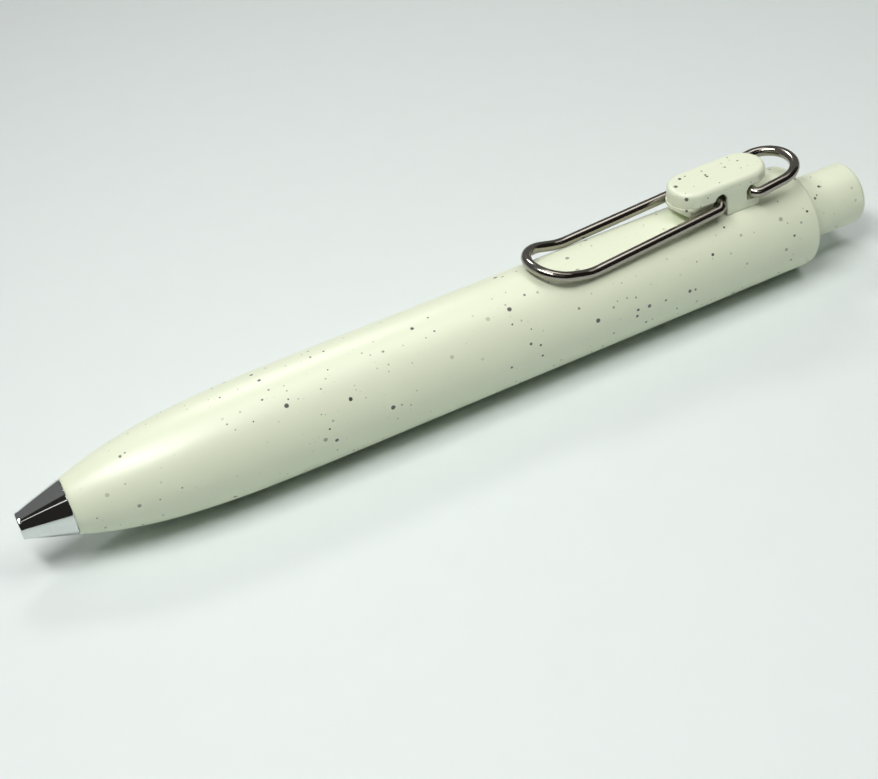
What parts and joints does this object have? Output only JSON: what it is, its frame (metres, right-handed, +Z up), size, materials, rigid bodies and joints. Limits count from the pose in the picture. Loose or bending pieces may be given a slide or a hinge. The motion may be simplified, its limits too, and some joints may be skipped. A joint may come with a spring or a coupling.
{
  "type": "retractable gel pen",
  "caption": "Short thick retractable gel pen with a metal nose, a push knob and a rocking wire clip held by an oblong holder.",
  "frame": {"origin": "under the middle of the pen's length, on the surface that it lies on", "axes": "+X along the pen towards the knob, +Z up through the clip, +Y across"},
  "size_m": [0.117, 0.0138, 0.0179],
  "materials": {
    "cream_plastic": "satin moulded plastic, warm off-white with scattered fine dark grey flecks",
    "chromed_metal": "mirror-bright plated metal",
    "dark_nickel": "polished dark nickel wire",
    "spring_steel": "drawn steel, satin",
    "grey_plastic": "smooth grey acetal",
    "white_plastic": "smooth white acetal",
    "clear_plastic": "clear extruded polypropylene",
    "gel_ink": "black gel ink, seen through the tube",
    "follower_grease": "translucent pale grease"
  },
  "bodies": {
    "barrel": {"barrel": "cream_plastic", "guide_sleeve": "grey_plastic", "clip_base": "cream_plastic", "clip_cap": "cream_plastic", "return_spring": "spring_steel"},
    "nose": {"nose_cone": "chromed_metal"},
    "knob": {"knob": "cream_plastic", "plunger": "white_plastic"},
    "refill": {"refill_tube": "clear_plastic", "ink_column": "gel_ink", "ink_follower": "follower_grease", "follower_float": "clear_plastic", "tail_plug": "white_plastic", "tip_holder": "white_plastic", "writing_tip": "spring_steel", "tip_ball": "spring_steel", "valve_ball": "spring_steel", "ball_spring": "spring_steel"},
    "rotor": {"rotor": "white_plastic"},
    "clip": {"clip_wire": "dark_nickel"}
  },
  "joints": [
    {"name": "knob_press", "type": "slide", "parent": "barrel", "child": "knob", "axis": [-1, 0, 0], "range_m": [0, 0.0055], "stiffness_N_per_m": 120, "springref_m": -0.012, "deforming": ["return_spring"]},
    {"name": "refill_slide", "type": "slide", "parent": "barrel", "child": "refill", "axis": [-1, 0, 0], "range_m": [0, 0.0055], "deforming": ["return_spring"]},
    {"name": "rotor_turn", "type": "hinge", "parent": "refill", "child": "rotor", "pos_m": [0.0361, 0, 0.00692], "axis": [1, 0, 0], "range_deg": [0, 45]},
    {"name": "nose_off", "type": "slide", "parent": "barrel", "child": "nose", "axis": [-1, 0, 0], "range_m": [0, 0.02]},
    {"name": "clip_rock", "type": "hinge", "parent": "barrel", "child": "clip", "pos_m": [0.0383, 0, 0.01552], "axis": [0, 1, 0], "range_deg": [0, 6], "stiffness_Nm_per_rad": 0.08, "springref_deg": -14.32}
  ],
  "couplings": [
    {"joint": "refill_slide", "follows": "knob_press", "ratio": 1},
    {"joint": "rotor_turn", "follows": "knob_press", "rad_per_m": 142.7}
  ]
}
